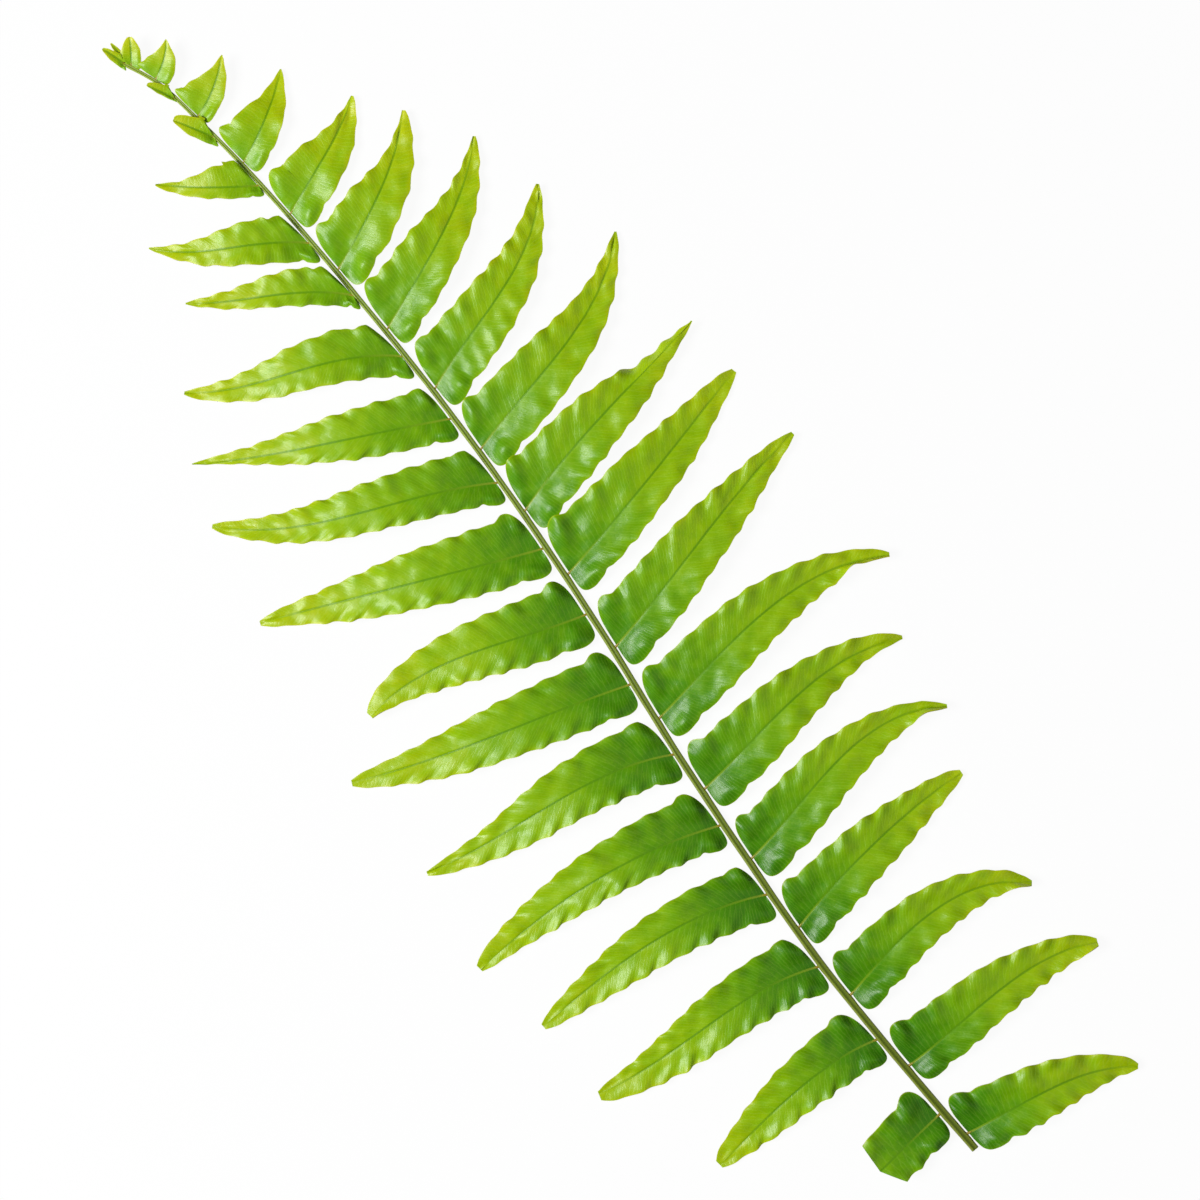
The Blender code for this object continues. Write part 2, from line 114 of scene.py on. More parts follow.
# The margins of a leaflet. Each row: how far it follows the slant of the stem, distances along the
# midrib in lobe sizes and in leaflet lengths, and the distance from the midrib in half-widths.
TIPWARD = (
    (1.0, 0.00, 0, 0.06), (1.0, 0.00, 0, 0.42), (1.0, 0.02, 0, 0.80), (1.0, 0.10, 0, 1.09),
    (1.0, 0.26, 0, 1.28), (1.0, 0.48, 0, 1.33), (0.95, 0.70, 0, 1.27), (0.85, 0.88, 0.01, 1.19),
    (0.6, 1.00, 0.03, 1.15), (0.2, 0, 0.25, 1.10), (0, 0, 0.36, 1.02), (0, 0, 0.46, 0.94),
    (0, 0, 0.56, 0.80), (0, 0, 0.66, 0.65), (0, 0, 0.76, 0.50), (0, 0, 0.86, 0.36),
    (0, 0, 0.95, 0.21), (0, 0, 1.0, 0.06))
BASEWARD = (
    (1.0, 0.00, 0, 0.06), (1.0, 0.00, 0, 0.36), (1.0, 0.05, 0, 0.68), (1.0, 0.20, 0, 0.85),
    (0.95, 0.46, 0, 0.93), (0.7, 0.74, 0, 0.95), (0.35, 0.93, 0.03, 0.96), (0, 0, 0.26, 0.97),
    (0, 0, 0.36, 0.94), (0, 0, 0.46, 0.88), (0, 0, 0.56, 0.82), (0, 0, 0.66, 0.70),
    (0, 0, 0.76, 0.54), (0, 0, 0.86, 0.35), (0, 0, 0.95, 0.19), (0, 0, 1.0, 0.06))
# A leaflet tapers from this share of its margin on, over the next stretch.
TAPER_FROM = 0.45
TAPER_OVER = 0.2
# The size of the lobes at the base of a short leaflet, as a share of its length.
LOBE_SHARE = 0.2
# The angle between leaflet and stem, in radians, at which an ear is lowest and highest, and how far it
# reaches there, in half-widths.
LEAST_SLANT = 0.7
SLANT_LOW, SLANT_HIGH = 0.8, 1.3
EAR_LOW, EAR_HIGH = 1.1, 1.36
# The stretch of stem, each way, over which its direction at a leaflet is taken.
SLOPE_REACH = 4.0

# The blade and the waves and scallops along its margins.
THICKNESS = 0.6
WAVE_STEP = 2.45
WAVE_HEIGHT = 0.55
LEAST_CREST, MOST_CREST = 0.5, 1.4
CRESTS = 26
FEWEST_ROWS = 6
WAVES_GROW = 6
WAVES_FADE = 5
LEAST_WAVE = 0.1
FULL_WAVE_LENGTH = 30.0
SCALLOP = 0.19
RAISED_EDGE = 0.05
FAN = 1.5
SEED = 5

# The gap between a leaflet and the stem.
STALK_GAP = 0.4
FULL_GAP_LENGTH = 45.0

# How a leaflet arches: the height of its crown with what its length and chance add, how far its root
# lies above the stem's underside, and the height of its tip above the surface it lies on.
ARCH_AT = (0, 0.12, 0.4, 0.75, 1.0)
ARCH_RISE = 0.45
ARCH_FALL = 0.65
LEAST_ARCH = 0.2
CROWN = 1.0
CROWN_PER_LENGTH = 0.055
CROWN_CHANCE = (-0.4, 0.6)
ROOT_IN_RADII = 1.15
ROOT_LIFT = 0.3
TIP_HEIGHTS = (0.0, 0.5, 1.1)
SHORT_TIP_HEIGHT = 1.8
TURNED_TIP_HEIGHT = 2.0
LONG_LEAFLET = 18.0

# How many short steps a midrib and a margin are traced in.
MIDRIB_STEPS = 200
MARGIN_STEPS = 600

# What this scene adds to the solid's form: a thinner skin a little below the solid's upper face. The least
# thickness and height keep both its faces apart and above the surface that the frond lies on.
SKIN_DROP = 0.14
SKIN_THICKNESS = 0.28
LEAST_SKIN = 0.2
LEAST_HEIGHT = 0.02
# Its points: how many rows for each row of the solid, and where they lie across each half-blade.
ROWS_PER_WAVE = 8
ACROSS = (0.03, 0.07, 0.13, 0.21, 0.31, 0.42, 0.52, 0.61, 0.69, 0.76, 0.82, 0.87, 0.92, 0.96, 1.0)

# Its waves: their share of the solid's wave height, the distance along the stem at which they would level
# off, and where on a half-blade they start. A second row of crests makes the scallops of the baseward
# margin uneven: its height as a share of theirs, and its shift in radians of a wave.
WAVE_SHARE = 0.62
WAVE_LEVELS_OFF = 450.0
WAVE_FROM = 0.35
SHOULDER = 0.45
SHOULDER_SHIFT = 0.6
# The scallops start past the lobes, at this distance along the margin in half-widths, over the next stretch.
SCALLOP_FROM = 1.9
SCALLOP_OVER = 0.7
# The ears and lobes: how far they swell up, where along the margin in half-widths (baseward, tipward) and
# where across the half-blade, how wide the swelling is along the margin, in millimetres, and across it.
EAR_SWELL = 0.85
EAR_AT = (1.3, 1.45)
EAR_ACROSS = 0.66
EAR_LONG = 2.6
EAR_BROAD = 0.3
# The margin bulges at a lobe and is dented past it: how far in millimetres, and where and over what length
# in half-widths (baseward, tipward).
LOBE_BULGE = 0.2
LOBE_AT = (1.15, 1.5)
LOBE_LONG = 0.3
LOBE_DENT = 0.5
DENT_AT = (1.85, 1.95)
DENT_LONG = 0.16
# Each half-blade is domed by this share of its width, and puckered by a few long ripples, which fade out
# towards the midrib.
HALF_DOME = 0.03
PUCKER = 0.011
RIPPLES = 9
RIPPLE_LENGTHS = (3.0, 9.0)
PUCKER_FADE = 2.5
# The midrib: a groove on top, and a rib below whose width is a share of the half-blade.
GROOVE_DEPTH = 0.06
GROOVE_WIDTH = 0.3
RIB_DEPTH = 0.22
RIB_WIDTH = 0.05
RIB_FADE = 0.8

# The stalks: sides and rings, radius in stem radii, how far each runs under its leaflet in millimetres and
# at most in leaflet lengths, how deep it lies there, how much deeper at the stem, how much it thins to its
# end, and its height as a share of its breadth.
STALK_SIDES, STALK_RINGS = 10, 9
STALK_RADIUS = 0.42
STALK_UNDER = 0.6
STALK_UNDER_SHARE = 0.2
STALK_DEPTH = 0.1
STALK_SINK = 0.3
STALK_THINS = 0.45
STALK_FLAT = 0.85

# The round stem: sides and rings. Its groove, the ridges beside it and the knots at the leaflets are
# shares of its radius, with their places and widths in radians round it.
ROUND_SIDES, ROUND_RINGS = 40, 700
STEM_GROOVE, GROOVE_SPREAD = 0.26, 0.42
STEM_RIDGE, RIDGE_AT, RIDGE_SPREAD = 0.05, 0.85, 0.3
KNOT, KNOT_AT, KNOT_SPREAD = 0.13, 0.35, 0.5
# A knot is a bump and a longer, lower run towards the cut end: how far before the leaflet's station, how
# long and how high each is.
KNOT_PARTS = ((0.9, 1.1, 1.0), (3.5, 2.6, 0.55))
# Slight swellings along the stem.
STEM_SWELLS = 5
STEM_SWELL_LENGTHS = (9, 40)
STEM_SWELL_SHIFTS = (0, 6)
STEM_SWELL_HEIGHT = 0.012

# Lengths in millimetres that a texture coordinate of 1 stands for: along a margin, along the stem, and
# across the midrib, where 0.5 is the midrib itself.
RUN_SPAN = 10
STEM_SPAN = 300
ASIDE_SPAN = 20
# Edges that bend by less than this, in degrees, are shaded smooth.
SMOOTH_ANGLE = 50


def smooth(knots, values, x):
    """A smooth line through the values."""
    knots = np.array(knots, float)
    values = np.array(values, float)
    slope = np.gradient(values, knots)
    i = np.clip(np.searchsorted(knots, x, side="right") - 1, 0, len(knots) - 2)
    h = knots[i + 1] - knots[i]
    t = (x - knots[i]) / h
    rise = values[i] * (1 + 2 * t) + slope[i] * h * t
    fall = values[i + 1] * (3 - 2 * t) - slope[i + 1] * h * (1 - t)
    return rise * (1 - t) ** 2 + fall * t ** 2


def hump(at, middle, spread):
    """A smooth hump of height 1."""
    return np.exp(-((at - middle) / spread) ** 2)


def stem_x(y):
    return smooth(STEM_Y, STEM_X, y)


def stem_radius(y):
    return np.interp(y, RADIUS_Y, RADIUS)


def stem_rise(y):
    t = np.clip((y - TIP_RISE_FROM) / (STEM_Y[-1] - TIP_RISE_FROM), 0, 1)
    return TIP_RISE * t ** TIP_CURVE


class Leaflet:
    """One leaflet: its midrib, its margins and the surface between them."""

    def __init__(self, row, draw):
        self.name, self.side, self.station, self.length = row[:4]
        self.headings = row[4:7]
        self.tipward = row[7:9]
        self.baseward = row[9:11]
        self.end = CUT_SHORT.get(self.name, self.length)
        self.turn = TURNED.get(self.name)
        self.crown = CROWN + CROWN_PER_LENGTH * self.length + draw.uniform(*CROWN_CHANCE)
        self.tip_height = draw.choice(TIP_HEIGHTS)
        if self.length < LONG_LEAFLET:
            self.tip_height = SHORT_TIP_HEIGHT
        if self.turn:
            self.tip_height = TURNED_TIP_HEIGHT
        self.wave_sign = draw.choice((-1, 1))
        share = min(1.0, self.length / FULL_WAVE_LENGTH)
        self.wave = WAVE_HEIGHT * share
        self.scallop = SCALLOP * share
        self.crests = [[draw.uniform(LEAST_CREST, MOST_CREST) for _ in range(CRESTS)] for _ in range(2)]
        self.trace()

    def trace(self):
        s = (np.arange(MIDRIB_STEPS) + 0.5) / MIDRIB_STEPS
        first, middle, last = self.headings
        turn = first + (4 * middle - 3 * first - last) * s + (2 * first + 2 * last - 4 * middle) * s * s
        turn = np.radians(turn)
        steps = np.c_[self.side * np.sin(turn), np.cos(turn)] * self.length / MIDRIB_STEPS
        self.out = stem_radius(self.station) + STALK_GAP * min(1.0, self.length / FULL_GAP_LENGTH)
        leaving = self.station - self.out * math.cos(math.radians(first))
        aside = self.out * math.sin(math.radians(first))
        base = np.array([stem_x(leaving) + self.side * aside, self.station])
        self.line = np.r_[[base], base + np.cumsum(steps, axis=0)]
        self.line_at = np.linspace(0, self.length, MIDRIB_STEPS + 1)
        run = np.gradient(self.line, axis=0)
        self.run = run / np.linalg.norm(run, axis=1)[:, None]
        bow = stem_x(self.station + SLOPE_REACH) - stem_x(self.station - SLOPE_REACH)
        slope = bow / (2 * SLOPE_REACH)
        self.slant = max(math.radians(first) - self.side * math.atan(slope), LEAST_SLANT)
        self.root = ROOT_IN_RADII * stem_radius(self.station) + stem_rise(self.station)

    def height(self, a):
        """How high the upper face of the midrib lies."""
        s = np.clip(a / self.length, 0, 1)
        low = self.root + ROOT_LIFT
        top = max(self.crown + stem_rise(self.station), low + LEAST_ARCH)
        tip = self.tip_height + THICKNESS + stem_rise(self.station)
        levels = (low, low + ARCH_RISE * (top - low), top, top + ARCH_FALL * (tip - top), tip)
        return smooth(ARCH_AT, levels, s)

    def margin(self, tipward, u):
        """Distances along and across the midrib, for u from the stalk (0) to the tip (1)."""
        table = np.array(TIPWARD if tipward else BASEWARD)
        width, taper = self.tipward if tipward else self.baseward
        knots = np.linspace(0, 1, len(table))
        follow, lobe, along, across = (smooth(knots, table[:, i], u) for i in range(4))
        outer = np.clip((u - TAPER_FROM) / TAPER_OVER, 0, 1)
        across = np.where(across < 1, np.maximum(across, 0.01) ** (1 + (taper - 1) * outer), across)
        ear = np.interp(self.slant, (SLANT_LOW, SLANT_HIGH), (EAR_LOW, EAR_HIGH))
        c = np.minimum(across, ear) * width * (1 if tipward else -1)
        size = min(width, LOBE_SHARE * self.length)
        return lobe * size + along * self.length + follow * c / math.tan(self.slant), c

    def place(self, a, c, w):
        """The point at a along the midrib, c across it and w above the blade."""
        x = np.interp(a, self.line_at, self.line[:, 0])
        y = np.interp(a, self.line_at, self.line[:, 1])
        tx = np.interp(a, self.line_at, self.run[:, 0])
        ty = np.interp(a, self.line_at, self.run[:, 1])
        behind = np.minimum(a, 0)
        start, end, tipward, baseward = self.turn or (0, 1, 0, 0)
        s = np.clip((a / self.length - start) / (end - start), 0, 1)
        turned = np.radians(np.where(c > 0, tipward, baseward)) * s * s * (3 - 2 * s)
        flat = c * np.cos(turned) - w * np.sin(turned)
        up = c * np.sin(turned) + w * np.cos(turned)
        x = x + tx * behind - ty * self.side * flat
        y = y + ty * behind + tx * self.side * flat
        return np.stack((x, y, self.height(a) + up), axis=-1)

    def edge(self, tipward, count):
        """Evenly spaced points along one margin, as distances along and across, and the margin's length."""
        a, c = self.margin(tipward, np.linspace(0, 1, MARGIN_STEPS))
        keep = a <= self.end
        a, c = a[keep], c[keep]
        run = np.r_[0, np.cumsum(np.hypot(np.diff(a), np.diff(c)))]
        at = np.linspace(0, run[-1], count)
        a, c = np.interp(at, run, a), np.interp(at, run, c)
        if self.end < self.length:
            a = np.minimum(a, self.end - CUT_CURVE[int(tipward)] * c ** 2)
        return a, c, run[-1]

    def rows(self):
        """How many rows of points cross the blade: one for each crest and each hollow of its waves."""
        run = self.edge(True, 2)[2]
        return int(np.clip(round(run / WAVE_STEP), FEWEST_ROWS, CRESTS - 1)) + 1

    def surface(self, v, across):
        """The blade's upper face: points, the distance along the margin, along and across the midrib."""
        row = v * (self.rows() - 1)
        share = WAVE_SHARE * (1 - self.station / WAVE_LEVELS_OFF)
        size = self.wave / WAVE_HEIGHT
        points, runs, along, aside = [], [], [], []
        mid = self.end * v ** FAN
        grow = np.clip(v * WAVES_GROW, 0, 1) * np.clip((1 - v) * WAVES_FADE, LEAST_WAVE, 1)
        for t in across:
            tipward = int(t > 0)
            part = abs(t)
            a, c, margin = self.edge(t > 0, len(v))
            run = v * margin
            half_width = (self.tipward if tipward else self.baseward)[0]
            run_share = run / half_width
            width = np.abs(c)
            sign = self.wave_sign if t > 0 else 1
            crest = np.interp(row, range(CRESTS), self.crests[tipward])
            wave = np.cos(np.pi * row) * sign * grow * crest
            shoulder = np.cos(np.pi * row + SHOULDER_SHIFT) * sign * grow * crest
            outer = min(max((part - WAVE_FROM) / (1 - WAVE_FROM), 0), 1)
            bend = outer ** 2 * (3 - 2 * outer) * share * self.wave * wave
            bend = bend + part ** 2 * RAISED_EDGE * width
            swell = hump(run, half_width * EAR_AT[tipward], EAR_LONG) * hump(part, EAR_ACROSS, EAR_BROAD)
            bend = bend + EAR_SWELL * size * swell
            bend = bend + 4 * HALF_DOME * part ** 2 * (1 - part ** 2) * width
            bend = bend - GROOVE_DEPTH * hump(part * width, 0, GROOVE_WIDTH) - SKIN_DROP
            past = np.clip((run_share - SCALLOP_FROM) / SCALLOP_OVER, 0, 1)
            lobe = LOBE_BULGE * hump(run_share, LOBE_AT[tipward], LOBE_LONG)
            dent = LOBE_DENT * hump(run_share, DENT_AT[tipward], DENT_LONG)
            wave = wave + SHOULDER * np.abs(shoulder) * (1 - tipward)
            c = c + np.sign(c) * self.scallop * past * wave
            c = c + np.sign(c) * (lobe - dent) * size ** 2
            here = mid + (a - mid) * part
            bend = bend + self.pucker(here, c * part, part)
            points.append(self.place(here, c * part, bend))
            runs.append(run)
            along.append(here / self.length)
            aside.append(c * part)
        return [np.stack(grid, axis=1) for grid in (points, runs, along, aside)]

    def pucker(self, a, c, part):
        """Small uneven swellings of the blade, none along the midrib."""
        chance = random.Random(self.name)
        total = np.zeros_like(a)
        for _ in range(RIPPLES):
            wave = chance.uniform(*RIPPLE_LENGTHS)
            way, shift = chance.uniform(0, math.pi), chance.uniform(0, 2 * math.pi)
            total += wave * np.sin(2 * math.pi * (a * math.cos(way) + c * math.sin(way)) / wave + shift)
        return PUCKER * total * min(part * PUCKER_FADE, 1.0) * self.wave / WAVE_HEIGHT


def down(leaflet, v):
    """The direction from the upper to the under face in each row."""
    a = leaflet.end * v ** FAN
    return leaflet.place(a, a * 0, a * 0 - 1) - leaflet.place(a, a * 0, a * 0)


def finish_mesh(name, verts, faces, uv_sets, slots, materials):
    """A smooth piece of the object. Its points come in millimetres from the cut end."""
    verts = (np.asarray(verts) - (MIDDLE[0], MIDDLE[1], 0)) * MM
    mesh = bpy.data.meshes.new(name)
    mesh.from_pydata(verts.tolist(), [], faces)
    for material in materials:
        mesh.materials.append(material)
    mesh.polygons.foreach_set("material_index", slots)
    mesh.polygons.foreach_set("use_smooth", [True] * len(faces))
    corners = np.empty(len(mesh.loops), int)
    mesh.loops.foreach_get("vertex_index", corners)
    for label, values in uv_sets.items():
        layer = mesh.uv_layers.new(name=label)
        layer.data.foreach_set("uv", np.asarray(values)[corners].astype(np.float32).ravel())
    mesh.update()
    mesh.set_sharp_from_angle(angle=math.radians(SMOOTH_ANGLE))
    thing = bpy.data.objects.new(name, mesh)
    bpy.context.scene.collection.objects.link(thing)
    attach(thing, "root")
    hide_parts("frond")
    return thing


def grid_faces(rows, columns, start=0):
    """The four-cornered faces among rows and columns of points."""
    i, j = np.meshgrid(np.arange(rows - 1), np.arange(columns - 1), indexing="ij")
    a = (start + i * columns + j).ravel()
    return np.stack((a, a + 1, a + columns + 1, a + columns), axis=1)


def ring_faces(rings, sides):
    """The faces of a closed tube of rings of points, with its two ends last."""
    i, j = np.meshgrid(np.arange(rings - 1), np.arange(sides), indexing="ij")
    k = (j + 1) % sides
    corners = (sides * i + j, sides * i + k, sides * (i + 1) + k, sides * (i + 1) + j)
    faces = np.stack(corners, axis=-1).reshape(-1, 4).tolist()
    faces.append(list(reversed(range(sides))))
    faces.append(list(range(sides * (rings - 1), sides * rings)))
    return faces


def blade(leaflet, materials):
    """A leaflet as a thin waved skin: its upper face, its under face and the rim between them."""
    rows = (leaflet.rows() - 1) * ROWS_PER_WAVE + 1
    v = np.linspace(0, 1, rows)
    across = np.array([-t for t in reversed(ACROSS)] + [0] + list(ACROSS))
    columns = len(across)
    upper, runs, along, aside = leaflet.surface(v, across)
    below = down(leaflet, v)[:, None, :]
    rib = hump(across[None, :, None], 0, RIB_WIDTH)
    under = upper + below * SKIN_THICKNESS
    under = under + below * rib * RIB_DEPTH * (1 - RIB_FADE * v)[:, None, None]
    under[..., 2] = np.maximum(under[..., 2], LEAST_HEIGHT)
    upper[..., 2] = np.maximum(upper[..., 2], under[..., 2] + LEAST_SKIN)
    verts = np.concatenate((upper.reshape(-1, 3), under.reshape(-1, 3)))
    half = rows * columns
    top = grid_faces(rows, columns)
    bottom = grid_faces(rows, columns, half)[:, ::-1]
    rim = []
    for j in (0, columns - 1):
        a = np.arange(rows - 1) * columns + j
        wall = np.stack((a, a + columns, a + columns + half, a + half), axis=1)
        rim.append(wall if j == 0 else wall[:, ::-1])
    for i in (0, rows - 1):
        a = i * columns + np.arange(columns - 1)
        wall = np.stack((a, a + half, a + half + 1, a + 1), axis=1)
        rim.append(wall if i == 0 else wall[:, ::-1])
    rim = np.concatenate(rim)
    faces = np.concatenate((top, bottom, rim))
    if leaflet.side > 0:
        faces = faces[:, ::-1]
    slots = [0] * len(top) + [1] * len(bottom) + [0] * len(rim)
    way = 0.5 + 0.5 * np.broadcast_to(across, runs.shape)
    age = np.full(runs.shape, leaflet.station / STEM_SPAN)
    pairs = {
        "veins": (runs / RUN_SPAN, way),
        "place": (along, age),
        "ribs": (aside / ASIDE_SPAN + 0.5, way)}
    uv_sets = {}
    for label, pair in pairs.items():
        uv = np.stack(pair, axis=-1).reshape(-1, 2)
        uv_sets[label] = np.concatenate((uv, uv))
    return finish_mesh("leaflet_" + leaflet.name, verts, faces.tolist(), uv_sets, slots, materials)


def stalk(leaflet, material):
    """The short stalk that carries a leaflet, from inside the stem to under its midrib."""
    start = -leaflet.out
    a = np.linspace(start, min(STALK_UNDER, STALK_UNDER_SHARE * leaflet.end), STALK_RINGS)
    middle = leaflet.place(a, a * 0, a * 0 - SKIN_DROP)
    middle[:, 2] -= STALK_DEPTH + STALK_SINK * np.clip(-a / leaflet.out, 0, 1)
    along = np.linspace(0, 1, STALK_RINGS)
    thick = STALK_RADIUS * stem_radius(leaflet.station) * (1 - STALK_THINS * along ** 2)
    turn = np.arange(STALK_SIDES) * 2 * math.pi / STALK_SIDES
    run = np.gradient(middle, axis=0)
    run /= np.linalg.norm(run, axis=1)[:, None]
    aside = np.stack((run[:, 1], -run[:, 0], run[:, 0] * 0), axis=1)
    aside /= np.linalg.norm(aside, axis=1)[:, None]
    lift = np.cross(aside, run)
    out = aside[:, None] * np.cos(turn)[None, :, None] * thick[:, None, None]
    up = lift[:, None] * np.sin(turn)[None, :, None] * thick[:, None, None] * STALK_FLAT
    verts = (middle[:, None] + out + up).reshape(-1, 3)
    faces = ring_faces(STALK_RINGS, STALK_SIDES)
    round_it = np.tile(turn / (2 * math.pi), STALK_RINGS)
    uv = np.stack((np.repeat(along, STALK_SIDES), round_it), axis=1)
    return finish_mesh("stalk_" + leaflet.name, verts, faces, {"place": uv}, [0] * len(faces), [material])


def stem(leaflets, materials):
    """The grooved stem, a little swollen where each leaflet leaves it."""
    y = np.linspace(0, STEM_Y[-1], ROUND_RINGS)
    run = np.gradient(stem_x(y), y)
    across = np.c_[np.ones_like(y), -run]
    across /= np.linalg.norm(across, axis=1)[:, None]
    radius = stem_radius(y)
    turn = -math.pi / 2 + np.arange(ROUND_SIDES) * 2 * math.pi / ROUND_SIDES
    from_top = np.abs(turn - math.pi / 2)
    shape = 1 - STEM_GROOVE * hump(from_top, 0, GROOVE_SPREAD)
    shape = shape + STEM_RIDGE * hump(from_top, RIDGE_AT, RIDGE_SPREAD)
    shape = np.tile(shape, (ROUND_RINGS, 1))
    for leaflet in leaflets:
        near = sum(high * hump(y, leaflet.station - before, long) for before, long, high in KNOT_PARTS)
        way = KNOT_AT if leaflet.side > 0 else math.pi - KNOT_AT
        shape = shape + KNOT * near[:, None] * hump(turn, way, KNOT_SPREAD)[None]
    rough = random.Random(SEED + 1)
    for _ in range(STEM_SWELLS):
        wave, shift = rough.uniform(*STEM_SWELL_LENGTHS), rough.uniform(*STEM_SWELL_SHIFTS)
        shape = shape + STEM_SWELL_HEIGHT * np.sin(2 * math.pi * y / wave + shift)[:, None]
    reach = radius[:, None] * shape
    rise = stem_rise(y)[:, None]
    x = stem_x(y)[:, None] + across[:, :1] * reach * np.cos(turn)[None]
    yy = y[:, None] + across[:, 1:] * reach * np.cos(turn)[None]
    z = radius[:, None] * math.cos(math.pi / STEM_SIDES) + reach * np.sin(turn)[None] + rise
    z = np.maximum(z, rise)
    verts = np.stack((x, yy, z), axis=-1).reshape(-1, 3)
    faces = ring_faces(ROUND_RINGS, ROUND_SIDES)
    # The face at the cut end comes last but one.
    slots = [0] * (len(faces) - 2) + [1, 0]
    sides = np.linspace(0, 1, ROUND_SIDES)[None]
    uv = np.stack(np.broadcast_arrays((y / STEM_SPAN)[:, None], sides), axis=-1).reshape(-1, 2)
    return finish_mesh("stem", verts, faces, {"place": uv}, slots, materials)


class Nodes:
    """A short way to write a material's nodes."""

    def __init__(self, name):
        self.material = bpy.data.materials.new(name)
        self.material.use_nodes = True
        self.tree = self.material.node_tree
        self.look = self.tree.nodes["Principled BSDF"]

    def add(self, kind, **settings):
        node = self.tree.nodes.new(kind)
        for key, value in settings.items():
            setattr(node, key, value)
        return node

    def feed(self, socket, value):
        """Link a socket to a socket, or set it to a value."""
        if isinstance(value, bpy.types.NodeSocket):
            self.tree.links.new(value, socket)
        else:
            socket.default_value = value

    def math(self, operation, a, b=0.0, c=0.0):
        node = self.add("ShaderNodeMath", operation=operation)
        for socket, value in zip(node.inputs, (a, b, c)):
            self.feed(socket, value)
        return node.outputs[0]

    def ramp(self, value, low, high, to_low=0.0, to_high=1.0, kind="SMOOTHSTEP"):
        """The value's way from low to high, turned into a way from to_low to to_high."""
        node = self.add("ShaderNodeMapRange", interpolation_type=kind)
        for socket, amount in zip(node.inputs, (value, low, high, to_low, to_high)):
            self.feed(socket, amount)
        return node.outputs[0]

    def noise(self, scale, detail=2.0, roughness=0.5):
        node = self.add("ShaderNodeTexNoise")
        node.inputs["Scale"].default_value = scale
        node.inputs["Detail"].default_value = detail
        node.inputs["Roughness"].default_value = roughness
        self.feed(node.inputs["Vector"], self.add("ShaderNodeTexCoord").outputs["Object"])
        return node.outputs["Fac"]

    def centred(self, noise, shift):
        """Noise of 0 to 1 turned into a shift either way."""
        return self.math("MULTIPLY_ADD", noise, 2 * shift, -shift)

    def colours(self, value, stops):
        """A colour between stops of a place and a colour in channels of 0 to 255."""
        node = self.add("ShaderNodeValToRGB")
        marks = node.color_ramp.elements
        while len(marks) < len(stops):
            marks.new(0.5)
        for mark, (at, colour) in zip(marks, stops):
            mark.position = at
            mark.color = (*[linear(c) for c in colour], 1)
        self.feed(node.inputs["Fac"], value)
        return node.outputs["Color"]

    def mix(self, share, a, b):
        """Colour a with a share of colour b over it."""
        node = self.add("ShaderNodeMix", data_type="RGBA")
        self.feed(node.inputs["Factor"], share)
        for socket, value in ((node.inputs[6], a), (node.inputs[7], b)):
            if isinstance(value, tuple):
                value = (*[linear(c) for c in value], 1)
            self.feed(socket, value)
        return node.outputs[2]

    def uv(self, name):
        """The two numbers of a texture coordinate."""
        node = self.add("ShaderNodeUVMap", uv_map=name)
        parts = self.add("ShaderNodeSeparateXYZ")
        self.feed(parts.inputs[0], node.outputs["UV"])
        return parts.outputs[0], parts.outputs[1]

    def bump(self, height, strength, distance, normal=None):
        node = self.add("ShaderNodeBump")
        node.inputs["Strength"].default_value = strength
        node.inputs["Distance"].default_value = distance
        self.feed(node.inputs["Height"], height)
        if normal is not None:
            self.feed(node.inputs["Normal"], normal)
        return node.outputs["Normal"]


def linear(value):
    """A colour channel of 0 to 255 as it is in light."""
    value = value / 255
    return value / 12.92 if value <= 0.04045 else ((value + 0.055) / 1.055) ** 2.4


# Greens from the base of an old leaflet to the tip of a young one, and along a midrib.
LEAF_GREENS = (
    (0.0, (44, 104, 0)), (0.2, (71, 130, 0)), (0.4, (105, 155, 0)), (0.6, (132, 170, 0)),
    (0.8, (158, 177, 0)), (1.0, (192, 194, 16)))
RIB_GREENS = (
    (0.0, (140, 152, 44)), (0.07, (120, 152, 24)), (0.2, (84, 134, 4)), (0.5, (70, 122, 0)),
    (1.0, (112, 150, 8)))
VEIN_GREEN = (176, 205, 90)
RIM_GREEN = (174, 178, 24)
UNDER_GREEN = (176, 200, 128)
# The place of a point on the greens: where it starts, then what is added for the way along the leaflet
# and for a young leaflet, each with its power, and for the middle of an old leaflet.
TONE_START = 0.03
TONE_ALONG, ALONG_POWER = 0.50, 0.8
TONE_AGE, AGE_POWER = 0.48, 1.8
TONE_MIDDLE, TONE_MIDDLE_AGE = 0.22, -0.24
MIDDLE_FROM, MIDDLE_TO = 0.04, 0.5
# Mottling in three sizes, as noise scale, detail and how much it shifts the tone either way.
BROAD = (110.0, 2.0, 0.10)
BLOTCH = (420.0, 3.0, 0.13)
GRAIN = (3200.0, 3.0, 0.06)
GRAIN_ROUGHNESS = 0.6
# The margin is lighter: from where on a half-blade, and by how much.
TONE_RIM, RIM_FROM = 0.12, 0.80
# Veins: their step along the margin and how far they wander, in millimetres, how far a fork opens and
# between which parts of a half-blade, how wide a vein is, in steps, the scale of the noise that it wanders
# by, and how much of its colour shows.
VEIN_STEP = 1.5
VEIN_WANDER = 0.5
FORK, FORK_FROM, FORK_TO = 0.25, 0.10, 0.55
VEIN_WIDTH = 0.12
VEIN_NOISE = 900.0
VEIN_SHARE = 0.09
# Veins fade out just inside the margin, between these parts of a half-blade.
VEIN_GONE, VEIN_FULL = 0.97, 0.9
# The midrib's colour: full within the first distance from its middle, gone at the second, in millimetres.
MIDRIB_INNER, MIDRIB_OUTER = 0.12, 0.30
MIDRIB_SHARE = 0.7
